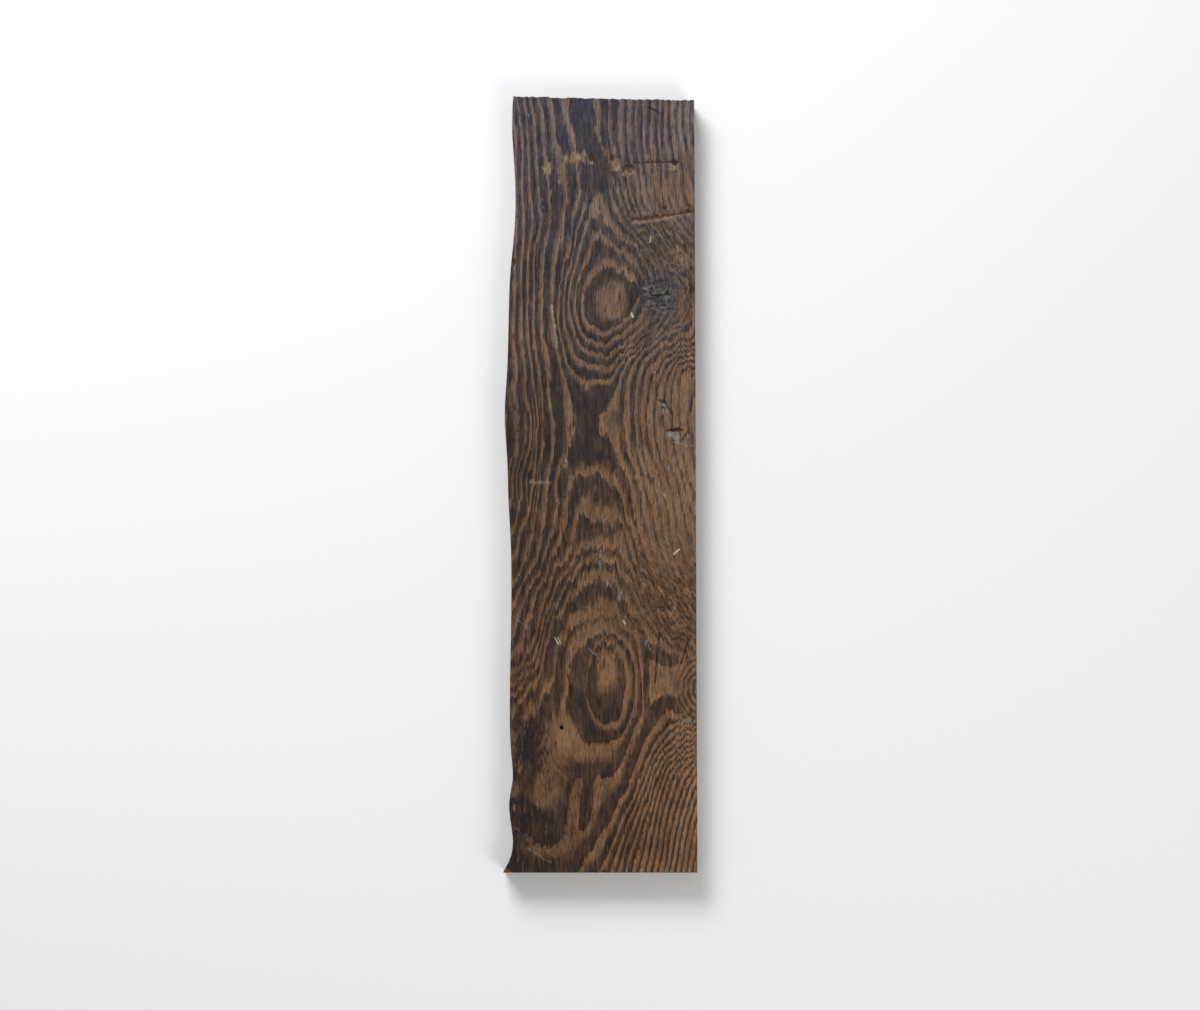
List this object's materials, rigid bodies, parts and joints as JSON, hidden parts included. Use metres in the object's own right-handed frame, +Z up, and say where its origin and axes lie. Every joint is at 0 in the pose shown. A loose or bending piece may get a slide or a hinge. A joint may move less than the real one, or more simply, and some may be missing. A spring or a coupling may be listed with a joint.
{
  "type": "wide plank floorboard",
  "caption": "Wide sawn softwood floorboard, worn until its grain stands in relief, with one wavy long edge, a straight long edge, scars and an old nail hole.",
  "frame": {"origin": "middle of the underside", "axes": "+X across the board towards its straight long edge, +Y along the board towards its upper end, +Z up out of the worn face"},
  "size_m": [0.1999, 0.8138, 0.025],
  "materials": {
    "worn_softwood": "brown-stained, worn bare of gloss in the soft grain, faintly polished on the hard grain"
  },
  "bodies": {
    "root": {"floorboard": "worn_softwood"}
  },
  "joints": []
}
